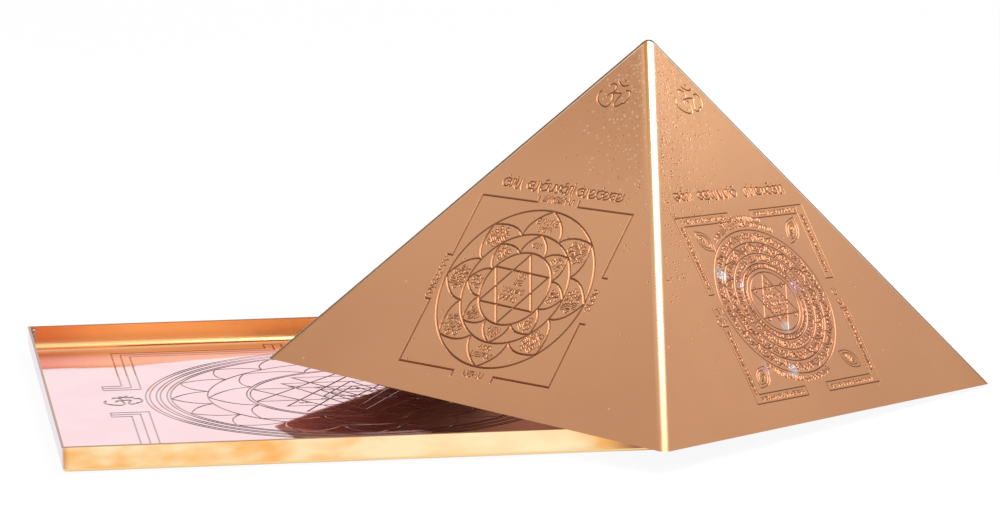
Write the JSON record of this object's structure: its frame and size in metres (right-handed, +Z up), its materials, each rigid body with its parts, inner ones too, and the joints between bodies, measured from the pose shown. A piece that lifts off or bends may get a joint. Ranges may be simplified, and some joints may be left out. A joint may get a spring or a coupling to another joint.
{
  "type": "vastu pyramid",
  "caption": "Folded copper pyramid cover with engraved yantras, lying askew on its shallow square copper tray.",
  "frame": {"origin": "centre of the tray's flat underside", "axes": "+Z up, -Y towards the tray's front wall, +X towards the side that the cover lies across"},
  "size_m": [0.1863, 0.1422, 0.0705],
  "materials": {
    "cover_copper": "satin",
    "tray_copper": "polished",
    "solder": "satin"
  },
  "bodies": {
    "tray": {"tray_pan": "tray_copper", "tray_corner_solder_1": "solder", "tray_corner_solder_2": "solder", "tray_corner_solder_3": "solder", "tray_corner_solder_4": "solder"},
    "cover": {"cover_sheet": "cover_copper", "cover_seam_solder": "solder"}
  },
  "joints": [
    {"name": "cover_lift", "type": "slide", "parent": "tray", "child": "cover", "axis": [0, 0, 1], "range_m": [0, 0.09]}
  ]
}
